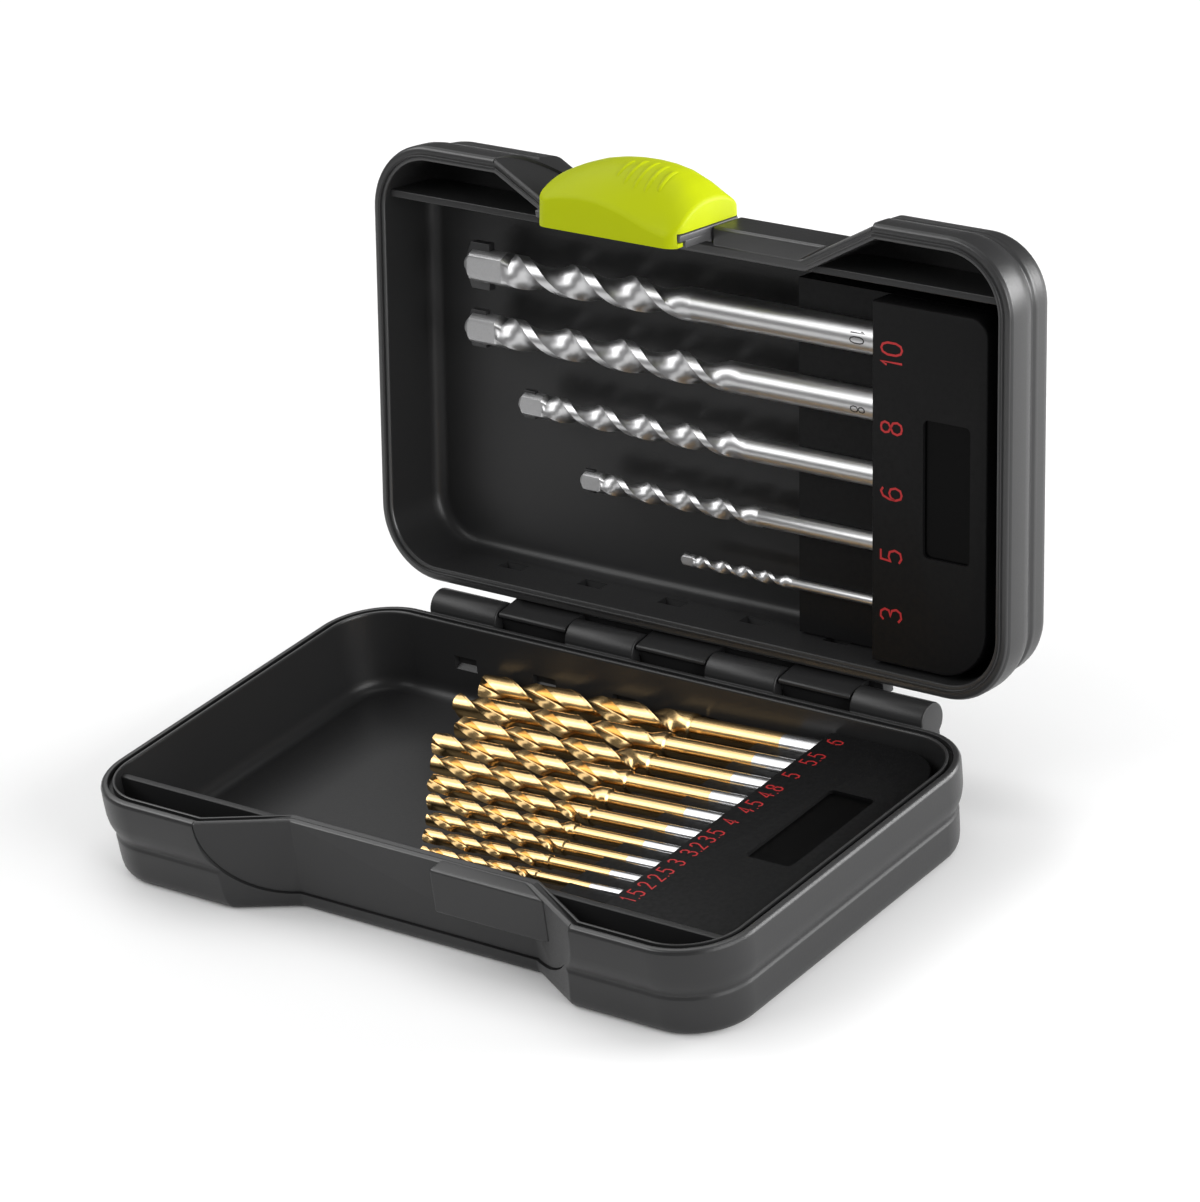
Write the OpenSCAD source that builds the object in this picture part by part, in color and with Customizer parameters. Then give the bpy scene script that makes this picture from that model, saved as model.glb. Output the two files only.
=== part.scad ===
// Drill bit case: a base tray and a hinged lid with a sliding latch, and a rack of bits in each half.
// The origin is the centre of the base's underside, +X runs along the hinge, +Y to the hinge, +Z up.
// The lid is drawn swung open onto its stop.

/* [Case] */
// Length of the case along the hinge
case_l = 161; // [157:1:172]
// Width of the case from its front face to its back face
case_w = 95; // [93:1:102]
// Height of the base up to its rim
base_h = 20; // [19:0.5:23]
// Depth of the lid from its rim to its top panel
lid_h = 17.5; // [17:0.5:21]
// Corner radius of the rim, seen from above
corner_r = 15; // [12:0.5:17]
// Thickness of the walls at the rim
wall = 3.1; // [2.9:0.1:3.4]
// Thickness of the floor and of the lid's top panel
floor_t = 2.5; // [2:0.1:2.8]
// Height of the proud band below the rim, before the belt line
band_h = 10.5; // [9:0.5:11.5]
// Step in of the wall at the belt line
belt_step = 0.9; // [0.5:0.1:1.2]
// Lean of the wall below the belt line
wall_lean = 0.7; // [0.3:0.1:1.4]
// Round of the rim's outer edge
rim_round = 0.7; // [0.4:0.1:1]
// Gap between the two rims when the case is shut
rim_gap = 0.2; // [0.1:0.05:0.4]
// Angle through which the lid opens
lid_angle = 100; // [95:1:105]

/* [Waist] */
// Depth of the recess in the middle of the front
waist_d = 9.1; // [8:0.1:9.8]
// Distance from the middle to the recess's left end, at the rim
waist_left = 46.6; // [44.6:0.5:50]
// Distance from the middle to the recess's right end, at the rim
waist_right = 47.6; // [45.6:0.5:50]
// Length along the front of each slanted side of the recess
waist_slant = 17; // [15:0.1:18.5]
// Depth of the latch pocket that is sunk into the recess
pocket_d = 0.5; // [0.3:0.1:0.8]
// Height of the band that is left under the latch pocket
pocket_foot = 3.6; // [3:0.1:4.5]
// Thickness of the straight rib that closes off the front corners
rib_t = 1.6; // [1.2:0.1:2]
// Drop of the rib's edge below the rim
rib_drop = 1.4; // [1:0.1:2]

/* [Latch] */
// Start of the locking pads, to the right of the middle
pad_x = 8.5; // [7:0.5:11]
// Height of each locking pad, from the rim
pad_h = 9.8; // [8.5:0.1:10.2]
// Thickness of the locking pads and of the rail
pad_t = 2.9; // [2.7:0.1:3.5]
// Depth of the groove behind the edge of the pads and of the rail
hook_d = 1.4; // [1.3:0.1:1.6]
// Height of that groove
hook_h = 1.9; // [1.6:0.1:2.2]
// Length of the latch along the front
latch_l = 36; // [32:0.1:37]
// Thickness of the latch's side flanges
latch_wall = 1.5; // [1.3:0.05:2]
// Height of the latch's crown over the recess
latch_crown = 14; // [12:0.5:16]
// Running clearance around the latch
latch_gap = 0.25; // [0.2:0.05:0.35]

/* [Hinge] */
// Distance of the hinge axis behind the back face
hinge_out = 4.5; // [4.4:0.1:6]
// Depth of the hinge axis below the rim
hinge_drop = 1; // [0.8:0.1:1.5]
// Width of one hinge knuckle
knuckle_w = 18.2; // [16:0.1:19]
// Radius of the base's knuckles
knuckle_r = 3.8; // [3.6:0.1:4]
// Radius of the lid's knuckles
lid_knuckle_r = 3.4; // [3.2:0.1:3.5]
// Radius of the hinge pin
pin_r = 1.25; // [1:0.05:1.5]
// Radial clearance of the pin in the knuckles
pin_gap = 0.06; // [0.03:0.01:0.09]
// Gap between neighbouring knuckles
knuckle_gap = 0.4; // [0.3:0.05:0.6]

/* [Racks] */
// Length of the lid's rack cover along the case
cover_l = 27.5; // [25:0.5:29]
// Length of the base's rack cover along the case
base_cover_l = 29.5; // [27:0.5:31]
// Gap between a rack cover and the right wall
cover_side = 3.5; // [2.7:0.1:4.2]
// Drop of the base's rack cover below the rim
base_cover_drop = 3.5; // [3:0.1:4]
// Drop of the lid's rack cover behind its rim
lid_cover_drop = 2; // [1.5:0.1:2.4]
// Depth of the bits' axes behind the lid's rim
lid_bit_drop = 8; // [7.8:0.1:8.5]
// Depth of the bits' axes below the base's rim, at the cover
base_bit_drop = 6.8; // [6.8:0.1:7.5]
// Length of the open cradle in front of the lid's cover
lid_cradle_l = 22.4; // [18:0.1:26]
// Length of the open cradle in front of the base's cover
base_cradle_l = 15; // [12:0.5:18]
// Clearance of a shank in its socket
socket_gap = 0.08; // [0.05:0.01:0.1]
// Depth of the bare panel sunk into each cover
panel_d = 0.8; // [0.5:0.1:1]

/* [Drill bits] */
// Land between the flutes of neighbouring bits in the base
bit_land = 2.9; // [2.5:0.1:3]
// Downward tilt of the bits in the base
bit_tilt = 2.8; // [2:0.1:3.2]
// Depth of the steel bits' sockets
hss_seat = 3.2; // [2.5:0.1:6]
// Room in front of the longest masonry bits, to pull them out straight
pull_room = 15.8; // [13:0.1:16]

/* [Hidden] */

charcoal = [0.17, 0.17, 0.175];
black = [0.04, 0.04, 0.045];
lime = [0.74, 0.8, 0.1];
gold = [0.83, 0.62, 0.3];
steel = [0.72, 0.72, 0.73];

e = 0.01;
front_y = -case_w / 2;
back_y = case_w / 2;
waist_y = front_y + waist_d;
pocket_y = waist_y + pocket_d;
rib_y = pocket_y + wall - 0.2;
hinge_y = back_y + hinge_out;
hinge_z = base_h - hinge_drop;

// Sizes of the twelve places in the base: diameter, standard length and flute length of each bit
hss_d = [6, 5.5, 5, 4.8, 4.5, 4, 3.5, 3.2, 3, 2.5, 2, 1.5];
hss_len = [93, 93, 86, 86, 80, 75, 70, 65, 61, 57, 49, 40];
hss_flute = [57, 57, 52, 52, 47, 43, 39, 36, 33, 30, 24, 18];
shank_share = 0.8;
hss_turn = 5.8;

// The five masonry bits: carbide width, share of the longest one's length, shank, flute diameter,
// share of the length that is fluted, socket depth
masonry_d = [10, 8, 6, 5, 3];
masonry_share = [1, 1, 5 / 6, 17 / 24, 1 / 2];
masonry_shank = [6.8, 6.4, 5, 3.8, 2.2];
masonry_body = [7, 6.5, 5.1, 4.2, 2.5];
fluted_share = [0.51, 0.61, 0.6, 0.55, 0.48];
masonry_seat = [12, 12, 6, 7, 8];
masonry_y = [-21.7, -8, 6.5, 20.6, 33.2];
masonry_turn = 4.4;

function sum_to(v, n) = n < 0 ? 0 : v[n] + sum_to(v, n - 1);
function hss_y(i) = back_y - wall - 1 - hss_d[0] / 2 - (sum_to(hss_d, i) - hss_d[i] / 2 - hss_d[0] / 2)
    - i * bit_land;

cover_x1 = case_l / 2 - wall - cover_side;
cover_x0 = cover_x1 - cover_l;
base_cover_x0 = cover_x1 - base_cover_l;
longest = cover_x0 + masonry_seat[0] + case_l / 2 - wall - pull_room;
base_cover_z = base_h - base_cover_drop;
base_bit_z = base_h - base_bit_drop;
lid_rim_z = base_h + rim_gap;
lid_top_z = base_h + lid_h;
lid_cover_z = base_h + lid_cover_drop;
lid_bit_z = base_h + lid_bit_drop;
lid_split_z = lid_bit_z + 0.4;

// A slab with rounded corners, whose walls stand in from the rim's outline
module slab(inset, z, t = e, $fn = 32) {
    r = max(corner_r - inset, 2);
    for (sx = [-1, 1], sy = [-1, 1])
        translate([sx * (case_l / 2 - inset - r), sy * (case_w / 2 - inset - r), z])
            cylinder(r = r, h = t);
}

// Outside of one half, rim at z = 0 and body below it
module half_outside(h) {
    hull() {
        slab(rim_round, -e);
        slab(0, -rim_round);
        slab(0.4, -band_h);
        slab(0.4 + belt_step, -band_h - 1);
    }
    hull() {
        slab(0.4 + belt_step, -band_h - 1);
        slab(0.4 + belt_step + wall_lean, -h + 1.6);
        slab(2 + belt_step + wall_lean, -h);
    }
}

// Inside of one half, down to its floor
module half_inside(h) {
    hull() {
        slab(wall, e);
        slab(wall + 0.8, -h + floor_t + 3);
        slab(wall + 3.8, -h + floor_t);
    }
}

// Plan of the recess: wider by out at its sides, deeper by deep
function waist_plan(out, deep) = [
    [-waist_left - out - 2 * waist_slant / waist_d, front_y - 2],
    [-waist_left - out, front_y],
    [-waist_left - out + waist_slant, waist_y + deep],
    [waist_right + out - waist_slant, waist_y + deep],
    [waist_right + out, front_y],
    [waist_right + out + 2 * waist_slant / waist_d, front_y - 2]
];

module waist(h, out = 0, deep = 0) {
    translate([0, 0, -h - e])
        linear_extrude(h + 1) polygon(waist_plan(out, deep));
}

// Front view of the latch pocket, a wide U
module pocket_front(h) {
    r = h - pocket_foot - e;
    x0 = -waist_left - 0.3;
    x1 = waist_right + 0.3;
    translate([0, waist_y + 4, 0])
        rotate([90, 0, 0])
            linear_extrude(waist_d + 6) {
                translate([x0 + r, 0]) intersection() {
                    circle(r, $fn = 64);
                    translate([-r, -r]) square([r, r + 1]);
                }
                translate([x1 - r, 0]) intersection() {
                    circle(r, $fn = 64);
                    translate([0, -r]) square([r, r + 1]);
                }
                translate([x0 + r, -r]) square([x1 - x0 - 2 * r, r + 1]);
                translate([x0, -e]) square([x1 - x0, 1 + e]);
            }
}

// Locking pad: a head that stands on a lower neck, so that the latch hooks behind its edge
module pad() {
    x1 = waist_right - waist_slant * (1 - pad_t / waist_d) + 1;
    translate([0, 0, -pad_h])
        linear_extrude(pad_h)
            polygon([[pad_x, waist_y - pad_t], [x1, waist_y - pad_t],
                [x1 - 2, waist_y - hook_d], [pad_x, waist_y - hook_d]]);
    translate([pad_x, waist_y - hook_d - e, -pad_h + hook_h])
        cube([waist_right - waist_slant - pad_x + 2, hook_d + pocket_d + 1, pad_h - hook_h]);
}

// Blind slots in the back wall
slot_w = 6;
slot_h = 3.1;
slot_pitch = 21.2;
slot_x0 = -51.5;
slot_drop = 7.4;
module slots(deep) {
    for (i = [0:4])
        translate([slot_x0 + i * slot_pitch - slot_w / 2, back_y - wall - 1.5, -slot_drop - slot_h])
            cube([slot_w, 1.5 + deep, slot_h]);
}

foot_bevel = 1.8;

// One half of the case, rim at z = 0: walls, floor, recess, pads and corner ribs
module half(h, slot_depth) {
    difference() {
        union() {
            difference() {
                half_outside(h);
                waist(h);
                intersection() {
                    waist(h, 0, pocket_d);
                    pocket_front(h);
                }
                translate([waist_slant - waist_left, 0, 0])
                    rotate([90, 0, 90])
                        linear_extrude(waist_left + waist_right - 2 * waist_slant)
                            polygon([[waist_y - 1, -h - 1], [waist_y + foot_bevel, -h - e],
                                [waist_y - e, -h + foot_bevel]]);
            }
            pad();
        }
        difference() {
            half_inside(h);
            translate([0, wall, 0]) waist(h + 1, wall / 2, pocket_d - 0.2);
            translate([-case_l / 2, rib_y - rib_t, -h]) cube([case_l, rib_t, h - rib_drop]);
        }
        slots(slot_depth);
    }
}

// Ring around the rim, between two distances from its outer edge
module rim_ring(from, to) {
    difference() {
        offset(delta = -from) rim_plan();
        offset(delta = -to) rim_plan();
    }
}

module rim_plan() {
    difference() {
        translate([-case_l / 2, -case_w / 2]) rounded(case_l, case_w, corner_r);
        polygon(waist_plan(0, pocket_d));
    }
}

module rounded(l, w, r) {
    translate([r, r]) offset(r = r, $fn = 48) square([l - 2 * r, w - 2 * r]);
}

groove_in = 1.5;
groove_w = 1.1;
groove_d = 1.3;
tongue_gap = 0.25;

// Hinge: seven knuckles side by side, the odd ones on the base and the even ones on the lid
function knuckle_x(i) = (i - 3.5) * knuckle_w + knuckle_gap / 2;
heel_z = 3.7;
web_back = 2.2;
flange_h = 9.2;
flange_z = hinge_z - heel_z - 0.1;

// Side view of the foot under each base knuckle, which reaches the ground behind the back wall
module hinge_foot() {
    polygon([[back_y - 2.4, flange_z - 1], [hinge_y + web_back, flange_z - 1],
        [hinge_y + web_back, 0.8], [hinge_y + web_back - 0.8, 0], [back_y - 4, 0],
        [back_y - 4, 1.2], [back_y - 2.4, 3]]);
}

module along_x(x, w) {
    translate([x, 0, 0]) rotate([90, 0, 90]) linear_extrude(w) children();
}

module pin_bore(x, w, r) {
    translate([x, hinge_y, hinge_z]) rotate([0, 90, 0]) cylinder(r = r, h = w, $fn = 48);
}

module base_shell() {
    color(charcoal) difference() {
        union() {
            difference() {
                translate([0, 0, base_h]) half(base_h, wall + 0.4);
                translate([0, 0, base_h - groove_d])
                    linear_extrude(groove_d + 1) rim_ring(groove_in, groove_in + groove_w);
            }
            along_x(knuckle_x(0), 7 * knuckle_w - knuckle_gap)
                polygon([[back_y - wall + 0.4, flange_z], [hinge_y + web_back, flange_z],
                    [hinge_y + web_back, flange_z - flange_h + 5], [back_y - 1.2, flange_z - flange_h],
                    [back_y - wall + 0.4, flange_z - flange_h + 1]]);
            for (i = [0:2:6])
                along_x(knuckle_x(i), knuckle_w - knuckle_gap) {
                    translate([hinge_y, hinge_z]) circle(knuckle_r, $fn = 64);
                    translate([back_y - 1.6, flange_z - 1])
                        square([hinge_out + 1.6 + web_back, hinge_z - flange_z + 1]);
                    hinge_foot();
                }
        }
        pin_bore(knuckle_x(0) + 2, 7 * knuckle_w - knuckle_gap - 4, pin_r + pin_gap);
        for (i = [1:2:5])
            along_x(knuckle_x(i) - knuckle_gap, knuckle_w + knuckle_gap)
                translate([hinge_y, hinge_z]) circle(lid_knuckle_r + 0.35, $fn = 64);
    }
}

// Moves what is drawn as if the case were shut to where the open lid holds it
module in_lid() {
    translate([0, hinge_y, hinge_z]) rotate([-lid_angle, 0, 0]) translate([0, -hinge_y, -hinge_z])
        children();
}

// Side view of a lid knuckle, shut: arm from the back wall, knuckle, and the heel that stops the lid
module lid_knuckle() {
    s = sin(lid_angle);
    c = cos(lid_angle);
    rim = hinge_drop + rim_gap + 0.4;
    circle(lid_knuckle_r, $fn = 64);
    polygon([[0, lid_knuckle_r], [-hinge_out - 0.8, rim + 6], [-hinge_out - 0.8, rim], [-3, rim],
        [-lid_knuckle_r, 0]]);
    polygon([[0, 0], [heel_z * s, heel_z * -c], [3 * c + heel_z * s, 3 * s - heel_z * c], [3 * c, 3 * s]]);
}

module lid_shell() {
    color(charcoal) in_lid() {
        difference() {
            union() {
                translate([0, 0, lid_rim_z]) mirror([0, 0, 1]) half(lid_h - rim_gap, 1.2);
                for (i = [1:2:5])
                    along_x(knuckle_x(i), knuckle_w - knuckle_gap)
                        translate([hinge_y, hinge_z]) lid_knuckle();
            }
            pin_bore(knuckle_x(1) - 1, 5 * knuckle_w + 2, pin_r + pin_gap);
        }
        translate([0, 0, lid_rim_z - groove_d + 0.4])
            linear_extrude(groove_d)
                rim_ring(groove_in + tongue_gap, groove_in + groove_w - tongue_gap);
    }
}

module hinge_pin() {
    color(steel) pin_bore(knuckle_x(0) + 2.2, 7 * knuckle_w - knuckle_gap - 4.4, pin_r);
}

// Rail on the lid that carries the latch, with its tongue below the rim
rail_x1 = pad_x - 0.4;
rail_x0 = -waist_left + waist_slant + 0.5;
module latch_rail() {
    color(charcoal) in_lid() {
        y1 = waist_y - pad_t;
        translate([0, 0, base_h - pad_h])
            linear_extrude(2 * pad_h)
                polygon([[rail_x0 - hook_d * waist_slant / waist_d, waist_y - hook_d],
                    [rail_x0 - pad_t * waist_slant / waist_d, y1], [rail_x1, y1],
                    [rail_x1, waist_y - hook_d]]);
        translate([rail_x0, waist_y - hook_d - e, lid_rim_z + 0.2])
            cube([rail_x1 - rail_x0, hook_d + pocket_d + e, pad_h - hook_h - rim_gap - 0.2]);
        translate([rail_x0, waist_y - hook_d - e, base_h - pad_h + hook_h])
            cube([rail_x1 - rail_x0, hook_d + e, pad_h - hook_h + 1]);
    }
}

// Latch: a domed channel that slides on the rail and over both pads
latch_h = 2 * (pad_h + latch_gap + latch_wall);
latch_x1 = pad_x - 0.4;
latch_x0 = latch_x1 - latch_l;
module latch_footprint(inset) {
    translate([latch_x0 + inset, -latch_h / 2 + inset])
        rounded(latch_l - 2 * inset, latch_h - 2 * inset, 3);
}

module latch_dome(inset) {
    intersection() {
        translate([0, waist_y - latch_gap, base_h])
            rotate([90, 0, 0]) linear_extrude(latch_crown + 2) latch_footprint(inset);
        translate([(latch_x0 + latch_x1) / 2, waist_y - latch_crown + 30 + inset, base_h])
            scale([(latch_l + 19.3) / 60, 1, (latch_h + 24) / 60]) sphere(30, $fn = 56);
    }
}

module latch() {
    slot_top = waist_y - pad_t - latch_gap;
    color(lime) in_lid() difference() {
        latch_dome(0);
        intersection() {
            latch_dome(2);
            translate([latch_x0, slot_top - latch_crown, base_h - latch_h / 2])
                cube([latch_l, latch_crown + e, latch_h]);
        }
        translate([latch_x0 - 1, slot_top, base_h - pad_h - latch_gap])
            cube([latch_l + 2, pad_t - hook_d + 2 * latch_gap, 2 * (pad_h + latch_gap)]);
        translate([latch_x0 - 1, slot_top, base_h - pad_h + hook_h - latch_gap])
            cube([latch_l + 2, pad_t + 2, 2 * (pad_h - hook_h + latch_gap)]);
    }
}

// Racks: a lower block with half-round cradles and a cover over the ends of the shanks
base_rack_y0 = rib_y + 0.3;
lid_rack_y0 = rib_y + 3.6;
rack_y1 = back_y - wall - 1;
foot_h = 3;
foot_in = 5;

module base_shanks(grow) {
    for (i = [0:len(hss_d) - 1])
        translate([base_cover_x0, hss_y(i), base_bit_z])
            rotate([0, 90 - bit_tilt, 0])
                translate([0, 0, -base_cradle_l - 5])
                    cylinder(r = hss_d[i] * shank_share / 2 + grow,
                        h = base_cradle_l + 5 + hss_seat + 0.2, $fn = 32);
}

module lid_shanks(grow) {
    for (i = [0:len(masonry_d) - 1])
        translate([cover_x0 - lid_cradle_l - 5, masonry_y[i], lid_bit_z])
            rotate([0, 90, 0])
                cylinder(r = masonry_shank[i] / 2 + grow,
                    h = lid_cradle_l + 5 + masonry_seat[i] + 0.2, $fn = 32);
}

// Plan of a rack cover: square to the bits, rounded at the two corners by the wall
module cover_plan(y0, l, back_r = 11, front_r = 4) {
    translate([cover_x1 - l, y0]) square([l - back_r, rack_y1 - y0]);
    translate([cover_x1 - l, y0 + front_r]) square([l, rack_y1 - y0 - back_r - front_r]);
    translate([cover_x1 - l, y0]) square([l - front_r, front_r + 1]);
    translate([cover_x1 - back_r, rack_y1 - back_r]) circle(back_r, $fn = 64);
    translate([cover_x1 - front_r, y0 + front_r]) circle(front_r, $fn = 48);
}

core_x = cover_x0 + 15;
core_l = cover_l - 17;

// Block from its foot on the floor, at z = 0, up to h; the foot clears the curve into the walls
module rack_block(y0, l, cradle_l, h) {
    x0 = cover_x1 - l - cradle_l;
    translate([x0, y0, 0])
        cube([cradle_l + l - foot_in, rack_y1 - y0 - foot_in, foot_h + e]);
    translate([x0, y0, foot_h])
        cube([cradle_l + 1, rack_y1 - y0, h - foot_h]);
    translate([0, 0, foot_h])
        linear_extrude(h - foot_h) cover_plan(y0, l);
}

module base_rack() {
    color(black) difference() {
        translate([0, 0, floor_t])
            rack_block(base_rack_y0, base_cover_l, base_cradle_l, base_bit_z - floor_t);
        base_shanks(socket_gap);
        translate([core_x, base_rack_y0 + 4, floor_t + 2])
            cube([core_l, rack_y1 - base_rack_y0 - 14, base_h]);
    }
}

module base_rack_cover() {
    color(black) difference() {
        translate([0, 0, base_bit_z])
            linear_extrude(base_cover_z - base_bit_z) cover_plan(base_rack_y0, base_cover_l);
        base_shanks(socket_gap);
        translate([cover_x0 + 11.9, -5.5, base_cover_z - panel_d]) cube([10.8, 29, 2]);
    }
}

module lid_rack() {
    color(black) in_lid() difference() {
        translate([0, 0, lid_top_z - floor_t]) mirror([0, 0, 1])
            rack_block(lid_rack_y0, cover_l, lid_cradle_l, lid_top_z - floor_t - lid_split_z);
        lid_shanks(socket_gap);
        translate([core_x, lid_rack_y0 + 4, lid_split_z - e])
            cube([core_l, rack_y1 - lid_rack_y0 - 15, lid_top_z - floor_t - lid_split_z - 2]);
    }
}

module lid_rack_cover() {
    color(black) in_lid() difference() {
        translate([0, 0, lid_cover_z])
            linear_extrude(lid_split_z - lid_cover_z) cover_plan(lid_rack_y0, cover_l);
        lid_shanks(socket_gap);
        translate([cover_x0 + 12.4, -9, lid_cover_z - e]) cube([11.2, 28.5, panel_d]);
        translate([core_x, lid_rack_y0 + 4, lid_cover_z + panel_d + 1.4])
            cube([core_l, rack_y1 - lid_rack_y0 - 15, lid_split_z]);
    }
}

// Cross-section of a two-flute drill: full lands, and flutes down to core times the radius
function flute_points(r, land, core) = [
    for (s = [0, 180], k = [0:6])
        let (
            a = k < 4 ? -land + k * 2 * land / 3 : land + (k - 3) * (180 - 2 * land) / 4,
            d = k < 4 ? 1 : core + (1 - core) * (k == 5 ? 0 : 0.42)
        )
        [r * d * cos(a + s), r * d * sin(a + s)]
];

module fluted(r, len, turn, land, core) {
    linear_extrude(len, twist = -360 * len / (turn * 2 * r), slices = ceil(14 * len / (turn * 2 * r)))
        polygon(flute_points(r, land, core));
}

// Drill bit for metal, tip at the origin, body along +X
module twist_drill(d, len, flute, shank) {
    point = d / 2 / tan(59);
    rotate([0, 90, 0]) {
        intersection() {
            fluted(d / 2, flute, hss_turn, 44, 0.4);
            union() {
                cylinder(r1 = 0.05, r2 = d / 2 + e, h = point, $fn = 24);
                translate([0, 0, point - e]) cylinder(r = d / 2 + e, h = flute, $fn = 24);
            }
        }
        translate([0, 0, flute - d]) cylinder(r = shank / 2, h = len - flute + d, $fn = 32);
    }
}

module hss_bit(i) {
    color(gold)
        translate([base_cover_x0, hss_y(i), base_bit_z])
            rotate([0, -bit_tilt, 0])
                translate([hss_seat - hss_len[i], 0, 0])
                    twist_drill(hss_d[i], hss_len[i], hss_flute[i], hss_d[i] * shank_share);
}

// Carbide plate of a masonry bit, tip at the origin, its width along Y
module carbide_plate(d) {
    linear_extrude(0.2 * d, center = true)
        polygon([[0, 0], [0.23 * d, d / 2], [0.95 * d, d / 2], [0.95 * d, -d / 2], [0.23 * d, -d / 2]]);
}

module masonry_steel(i) {
    d = masonry_d[i];
    body = masonry_body[i];
    head = 0.9 * d;
    len = longest * masonry_share[i];
    flute = len * fluted_share[i];
    difference() {
        union() {
            translate([0.28 * d, 0, 0]) rotate([0, 90, 0])
                cylinder(r1 = body / 2 - 0.12 * d, r2 = body / 2 - 0.02 * d, h = head, $fn = 24);
            translate([0.28 * d + head - e, 0, 0]) rotate([0, 90, 0])
                fluted(body / 2, flute - head, masonry_turn, 34, 0.55);
            translate([flute - 2, 0, 0]) rotate([0, 90, 0])
                cylinder(r = masonry_shank[i] / 2, h = len - flute + 2, $fn = 32);
        }
        carbide_plate(d);
    }
}

module at_masonry(i) {
    in_lid()
        translate([cover_x0 + masonry_seat[i] - longest * masonry_share[i], masonry_y[i], lid_bit_z])
            children();
}

module masonry_bit(i) {
    color(steel) at_masonry(i) masonry_steel(i);
}

module carbide_tip(i) {
    color([0.35, 0.35, 0.36]) at_masonry(i) carbide_plate(masonry_d[i]);
}

base_shell();
lid_shell();
hinge_pin();
latch();
latch_rail();
base_rack();
base_rack_cover();
lid_rack();
lid_rack_cover();
hss_bit(0);  // hss_bit_6_0
hss_bit(1);  // hss_bit_5_5
hss_bit(2);  // hss_bit_5_0
hss_bit(3);  // hss_bit_4_8
hss_bit(4);  // hss_bit_4_5
hss_bit(5);  // hss_bit_4_0
hss_bit(6);  // hss_bit_3_5
hss_bit(7);  // hss_bit_3_2
hss_bit(8);  // hss_bit_3_0
hss_bit(9);  // hss_bit_2_5
masonry_bit(0);  // masonry_bit_10
masonry_bit(1);  // masonry_bit_8
masonry_bit(2);  // masonry_bit_6
masonry_bit(3);  // masonry_bit_5
masonry_bit(4);  // masonry_bit_3
carbide_tip(0);  // carbide_tip_10
carbide_tip(1);  // carbide_tip_8
carbide_tip(2);  // carbide_tip_6
carbide_tip(3);  // carbide_tip_5
carbide_tip(4);  // carbide_tip_3
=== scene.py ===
import math
from functools import lru_cache

import bmesh
import bpy
import numpy as np
from mathutils import Matrix, Vector


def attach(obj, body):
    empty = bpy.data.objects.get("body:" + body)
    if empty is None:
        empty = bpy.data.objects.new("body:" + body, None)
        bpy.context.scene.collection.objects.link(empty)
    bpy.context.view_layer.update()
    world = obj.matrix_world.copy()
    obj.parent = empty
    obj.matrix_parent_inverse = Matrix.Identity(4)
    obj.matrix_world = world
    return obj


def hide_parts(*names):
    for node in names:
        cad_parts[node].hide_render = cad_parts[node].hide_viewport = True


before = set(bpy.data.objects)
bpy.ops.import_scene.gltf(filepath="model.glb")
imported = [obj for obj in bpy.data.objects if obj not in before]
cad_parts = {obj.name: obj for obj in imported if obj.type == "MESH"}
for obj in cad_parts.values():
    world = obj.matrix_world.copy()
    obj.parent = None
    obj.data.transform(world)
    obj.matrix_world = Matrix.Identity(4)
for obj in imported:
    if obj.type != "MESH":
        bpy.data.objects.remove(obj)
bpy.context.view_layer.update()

MM = 0.001
CASE = {"hl": 80.5, "hw": 47.5, "r": 15.0, "left": 46.6, "right": 47.6, "slant": 17.0, "deep": 9.1}
RIM_Z, LID_RIM_Z = 20.0, 20.2
AXIS = (52.0, 19.0)
OPEN = math.radians(100)


@lru_cache(maxsize=None)
def outline(inset, waist_inset):
    """Plan of the case, counter-clockwise, its outer walls moved in by inset and the waist's by waist_inset."""
    c = CASE
    pts = [
        (c["hl"], c["hw"]), (-c["hl"], c["hw"]), (-c["hl"], -c["hw"]), (-c["left"], -c["hw"]),
        (-c["left"] + c["slant"], -c["hw"] + c["deep"]), (c["right"] - c["slant"], -c["hw"] + c["deep"]),
        (c["right"], -c["hw"]), (c["hl"], -c["hw"]),
    ]
    moves = [inset, inset, inset, waist_inset, waist_inset, waist_inset, inset, inset]
    r = max(c["r"] - inset, 1.0)
    radii = [r, r, r, 1.3, 1.8, 1.8, 1.3, r]
    n = len(pts)
    lines = []
    for k in range(n):
        p, q = np.array(pts[k], float), np.array(pts[(k + 1) % n], float)
        d = (q - p) / np.linalg.norm(q - p)
        lines.append((p + moves[k] * np.array([-d[1], d[0]]), d))
    out = []
    for k in range(n):
        (p, d), (q, e) = lines[k - 1], lines[k]
        t = np.linalg.solve(np.array([d, -e]).T, q - p)[0]
        turn = math.atan2(d[0] * e[1] - d[1] * e[0], float(d @ e))
        size = radii[k] * math.tan(abs(turn) / 2)
        start, side = p + (t - size) * d, 1 if turn > 0 else -1
        centre = start + side * radii[k] * np.array([-d[1], d[0]])
        steps = 18 if k in (0, 1, 2, 7) else 6
        for s in range(steps + 1):
            a = turn * s / steps
            v = start - centre
            out.append((centre[0] + v[0] * math.cos(a) - v[1] * math.sin(a),
                        centre[1] + v[0] * math.sin(a) + v[1] * math.cos(a)))
    return out


def bridge(bm, a, b):
    """Quads between two closed rows of verts."""
    n = len(a)
    for k in range(n):
        bm.faces.new((a[k], a[(k + 1) % n], b[(k + 1) % n], b[k]))


def loft(bm, rings, cap_first=True, cap_last=True):
    """Skins a list of rings, each a list of (x, y, z) in mm, into quads; caps are single faces."""
    verts = [[bm.verts.new(Vector(p) * MM) for p in ring] for ring in rings]
    for a, b in zip(verts, verts[1:]):
        bridge(bm, a, b)
    if cap_first:
        bm.faces.new(verts[0][::-1])
    if cap_last:
        bm.faces.new(verts[-1])
    return verts


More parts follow.
